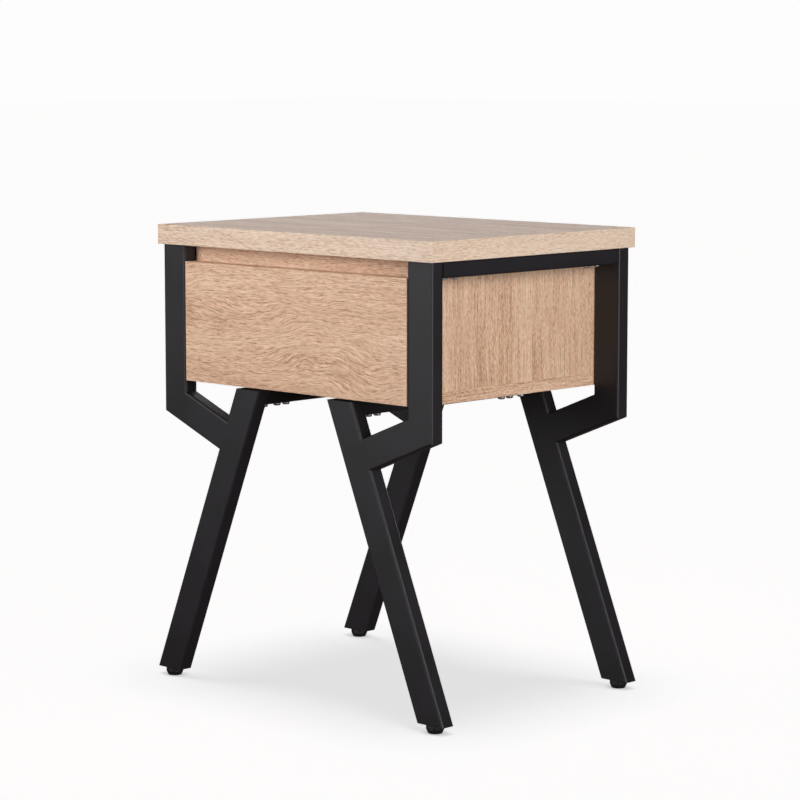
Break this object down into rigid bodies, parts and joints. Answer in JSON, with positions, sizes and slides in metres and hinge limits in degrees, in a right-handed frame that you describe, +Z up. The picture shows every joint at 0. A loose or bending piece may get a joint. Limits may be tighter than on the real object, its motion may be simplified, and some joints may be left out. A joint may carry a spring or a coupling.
{
  "type": "side table with drawer",
  "caption": "Side table: oak-look top and box with a handleless drawer, carried by a welded black steel tube frame with splayed legs and levelling feet.",
  "frame": {"origin": "on the floor, under the middle of the table", "axes": "+Z up, -Y out of the drawer front, +X to the right as seen from behind the origin looking along +Y"},
  "size_m": [0.5074, 0.37, 0.585],
  "materials": {
    "oak_laminate": "matt embossed oak laminate on particle board",
    "oak_edge_band": "matt oak-look edge band",
    "black_powder_coat": "matt fine-textured black powder coat on steel tube",
    "black_nylon": "moulded black nylon",
    "zinc_plated_steel": "zinc-plated steel",
    "bearing_steel": "polished balls in a pressed steel cage",
    "brass_insert": "turned brass",
    "cast_zinc": "die-cast zinc",
    "beech_dowel": "fluted beech",
    "drawer_board": "plain oak-look laminate",
    "drawer_floor_board": "thin foiled fibreboard"
  },
  "bodies": {
    "frame": {"box_back": "oak_laminate", "box_bottom": "oak_laminate", "box_dowels": "beech_dowel", "box_mouth_board": "oak_laminate", "box_rail_left": "black_powder_coat", "box_rail_right": "black_powder_coat", "box_side_left": "oak_laminate", "box_side_right": "oak_laminate", "brace_front_left": "black_powder_coat", "brace_front_right": "black_powder_coat", "brace_rear_left": "black_powder_coat", "brace_rear_right": "black_powder_coat", "cam_bolts": "zinc_plated_steel", "cam_discs": "cast_zinc", "frame_bolts": "zinc_plated_steel", "leg_caps": "black_powder_coat", "leg_front_left": "black_powder_coat", "leg_front_right": "black_powder_coat", "leg_plugs": "black_nylon", "leg_rear_left": "black_powder_coat", "leg_rear_right": "black_powder_coat", "post_front_left": "black_powder_coat", "post_front_right": "black_powder_coat", "post_rear_left": "black_powder_coat", "post_rear_right": "black_powder_coat", "slide_box_screws": "zinc_plated_steel", "slide_cabinet_member_left": "zinc_plated_steel", "slide_cabinet_member_right": "zinc_plated_steel", "threaded_inserts": "brass_insert", "top_edges_front_rear": "oak_edge_band", "top_edges_sides": "oak_edge_band", "top_panel": "oak_laminate", "top_rail_left": "black_powder_coat", "top_rail_right": "black_powder_coat"},
    "drawer": {"drawer_front": "oak_laminate", "drawer_inner_front": "drawer_board", "drawer_side_left": "drawer_board", "drawer_side_right": "drawer_board", "drawer_back": "drawer_board", "drawer_floor": "drawer_floor_board", "drawer_box_screws": "zinc_plated_steel", "drawer_front_screws": "zinc_plated_steel", "slide_drawer_member_left": "zinc_plated_steel", "slide_drawer_member_right": "zinc_plated_steel", "slide_drawer_screws": "zinc_plated_steel"},
    "slide_middle_left": {"slide_middle_member_left": "zinc_plated_steel"},
    "outer_cage_left": {"slide_outer_cage_left": "bearing_steel"},
    "inner_cage_left": {"slide_inner_cage_left": "bearing_steel"},
    "slide_middle_right": {"slide_middle_member_right": "zinc_plated_steel"},
    "outer_cage_right": {"slide_outer_cage_right": "bearing_steel"},
    "inner_cage_right": {"slide_inner_cage_right": "bearing_steel"},
    "foot_front_left": {"foot_pad_front_left": "black_nylon", "foot_stud_front_left": "zinc_plated_steel"},
    "foot_front_right": {"foot_pad_front_right": "black_nylon", "foot_stud_front_right": "zinc_plated_steel"},
    "foot_rear_left": {"foot_pad_rear_left": "black_nylon", "foot_stud_rear_left": "zinc_plated_steel"},
    "foot_rear_right": {"foot_pad_rear_right": "black_nylon", "foot_stud_rear_right": "zinc_plated_steel"}
  },
  "joints": [
    {"name": "drawer_slide", "type": "slide", "parent": "frame", "child": "drawer", "axis": [0, -1, 0], "range_m": [0, 0.28]},
    {"name": "slide_middle_left_travel", "type": "slide", "parent": "frame", "child": "slide_middle_left", "axis": [0, -1, 0], "range_m": [0, 0.14]},
    {"name": "outer_cage_left_travel", "type": "slide", "parent": "frame", "child": "outer_cage_left", "axis": [0, -1, 0], "range_m": [0, 0.07]},
    {"name": "inner_cage_left_travel", "type": "slide", "parent": "frame", "child": "inner_cage_left", "axis": [0, -1, 0], "range_m": [0, 0.21]},
    {"name": "slide_middle_right_travel", "type": "slide", "parent": "frame", "child": "slide_middle_right", "axis": [0, -1, 0], "range_m": [0, 0.14]},
    {"name": "outer_cage_right_travel", "type": "slide", "parent": "frame", "child": "outer_cage_right", "axis": [0, -1, 0], "range_m": [0, 0.07]},
    {"name": "inner_cage_right_travel", "type": "slide", "parent": "frame", "child": "inner_cage_right", "axis": [0, -1, 0], "range_m": [0, 0.21]},
    {"name": "foot_front_left_turn", "type": "hinge", "parent": "frame", "child": "foot_front_left", "pos_m": [-0.23208, -0.17, 0.01], "axis": [0, 0, 1], "continuous": true},
    {"name": "foot_front_right_turn", "type": "hinge", "parent": "frame", "child": "foot_front_right", "pos_m": [0.23208, -0.17, 0.01], "axis": [0, 0, 1], "continuous": true},
    {"name": "foot_rear_left_turn", "type": "hinge", "parent": "frame", "child": "foot_rear_left", "pos_m": [-0.23208, 0.17, 0.01], "axis": [0, 0, 1], "continuous": true},
    {"name": "foot_rear_right_turn", "type": "hinge", "parent": "frame", "child": "foot_rear_right", "pos_m": [0.23208, 0.17, 0.01], "axis": [0, 0, 1], "continuous": true}
  ],
  "couplings": [
    {"joint": "slide_middle_left_travel", "follows": "drawer_slide", "ratio": 0.5},
    {"joint": "outer_cage_left_travel", "follows": "drawer_slide", "ratio": 0.25},
    {"joint": "inner_cage_left_travel", "follows": "drawer_slide", "ratio": 0.75},
    {"joint": "slide_middle_right_travel", "follows": "drawer_slide", "ratio": 0.5},
    {"joint": "outer_cage_right_travel", "follows": "drawer_slide", "ratio": 0.25},
    {"joint": "inner_cage_right_travel", "follows": "drawer_slide", "ratio": 0.75}
  ]
}
